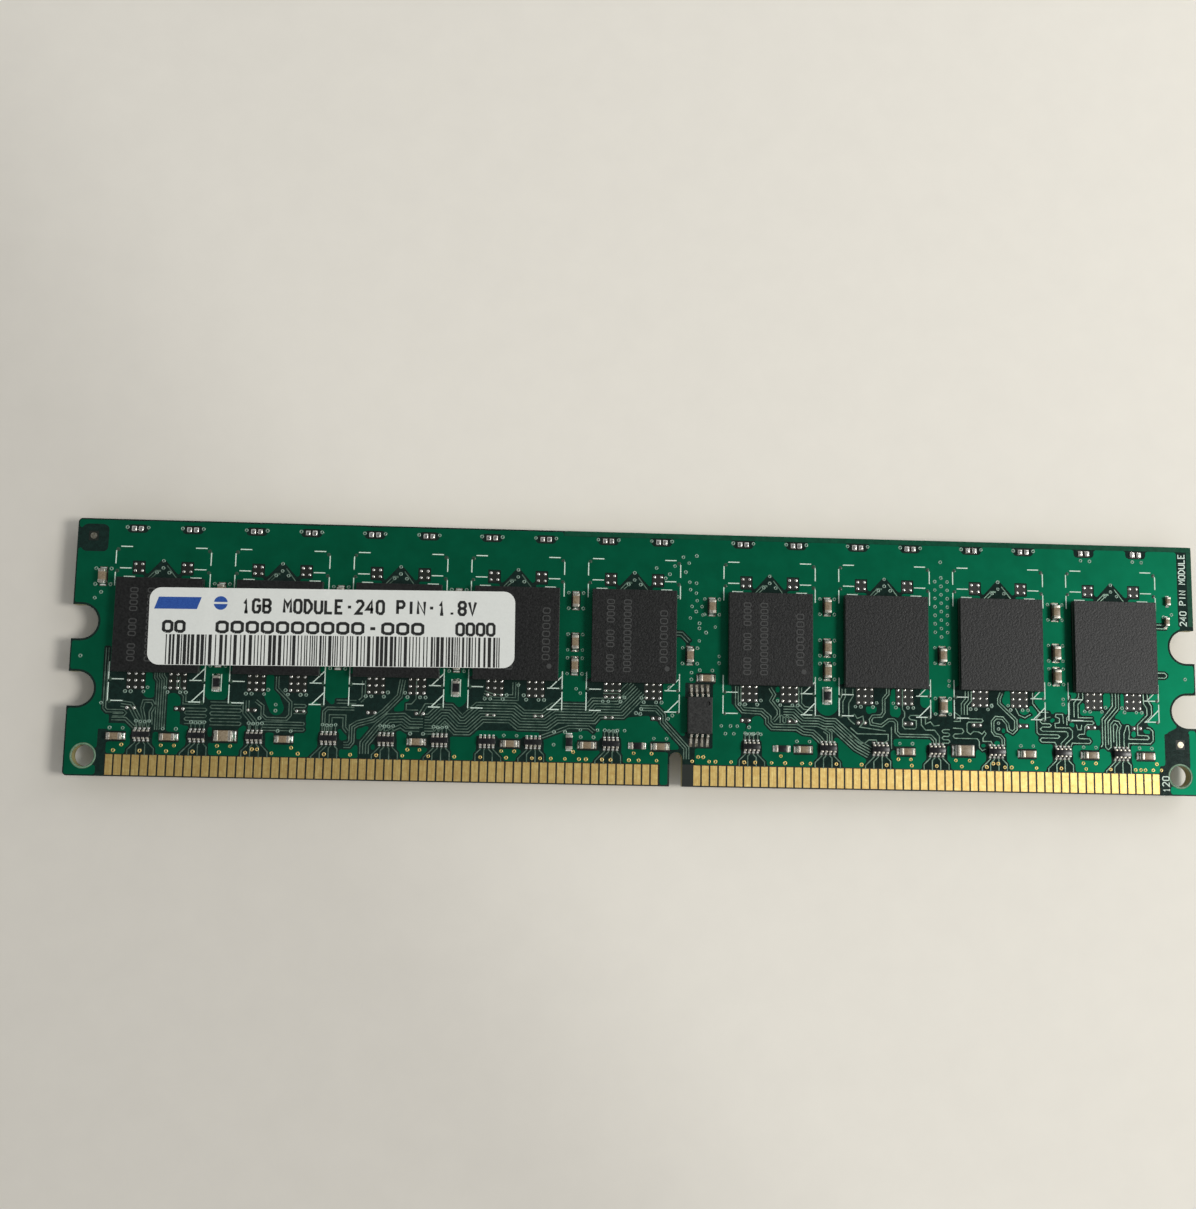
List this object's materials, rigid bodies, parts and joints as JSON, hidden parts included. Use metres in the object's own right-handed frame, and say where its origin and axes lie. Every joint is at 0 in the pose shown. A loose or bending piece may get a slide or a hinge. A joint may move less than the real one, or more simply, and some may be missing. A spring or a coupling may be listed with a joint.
{
  "type": "memory module",
  "caption": "Long flat circuit board with a gold contact edge, a key slot, latch notches, and flat black memory packages on both faces beside small chip parts.",
  "frame": {"origin": "middle of the board's outline, on the plane of the back packages' faces", "axes": "+X along the contact edge, from contact 1's end towards contact 120's end; +Y from the contact edge towards the top edge; +Z out of the front face"},
  "size_m": [0.1334, 0.03, 0.0038],
  "materials": {
    "laminate": "routed glass-epoxy edge",
    "solder_mask": "glossy green solder mask",
    "inner_copper": "rolled copper foil",
    "gold_plating": "satin gold over nickel",
    "tinned_copper": "levelled tin",
    "mould_compound": "matt black moulded epoxy",
    "substrate": "dark green laminate",
    "silicon": "ground silicon",
    "solder": "bright reflowed solder",
    "capacitor_ceramic": "fired brown ceramic",
    "resistor_coating": "black glass overcoat",
    "termination": "plated tin",
    "label_paper": "white coated paper"
  },
  "bodies": {
    "root": {"board_laminate": "laminate", "ground_plane": "inner_copper", "power_plane": "inner_copper", "front_solder_mask": "solder_mask", "back_solder_mask": "solder_mask", "front_contacts": "gold_plating", "back_contacts": "gold_plating", "front_lands": "tinned_copper", "back_lands": "tinned_copper", "front_dram_1": "mould_compound", "front_dram_2": "mould_compound", "front_dram_3": "mould_compound", "front_dram_4": "mould_compound", "front_dram_5": "mould_compound", "front_dram_6": "mould_compound", "front_dram_7": "mould_compound", "front_dram_8": "mould_compound", "front_dram_9": "mould_compound", "back_dram_1": "mould_compound", "back_dram_2": "mould_compound", "back_dram_3": "mould_compound", "back_dram_4": "mould_compound", "back_dram_5": "mould_compound", "back_dram_6": "mould_compound", "back_dram_7": "mould_compound", "back_dram_8": "mould_compound", "back_dram_9": "mould_compound", "front_substrates": "substrate", "back_substrates": "substrate", "front_dies": "silicon", "back_dies": "silicon", "front_solder_balls": "solder", "back_solder_balls": "solder", "front_capacitors": "capacitor_ceramic", "front_capacitor_ends": "termination", "bulk_capacitors": "capacitor_ceramic", "bulk_capacitor_ends": "termination", "small_capacitors": "capacitor_ceramic", "small_capacitor_ends": "termination", "front_resistors": "resistor_coating", "front_resistor_ends": "termination", "front_resistor_arrays": "resistor_coating", "front_array_ends": "termination", "front_solder_fillets": "solder", "back_capacitors": "capacitor_ceramic", "back_capacitor_ends": "termination", "back_resistor_arrays": "resistor_coating", "back_array_ends": "termination", "back_solder_fillets": "solder", "eeprom_body": "mould_compound", "eeprom_leads": "termination", "eeprom_die": "silicon", "label": "label_paper"}
  },
  "joints": []
}
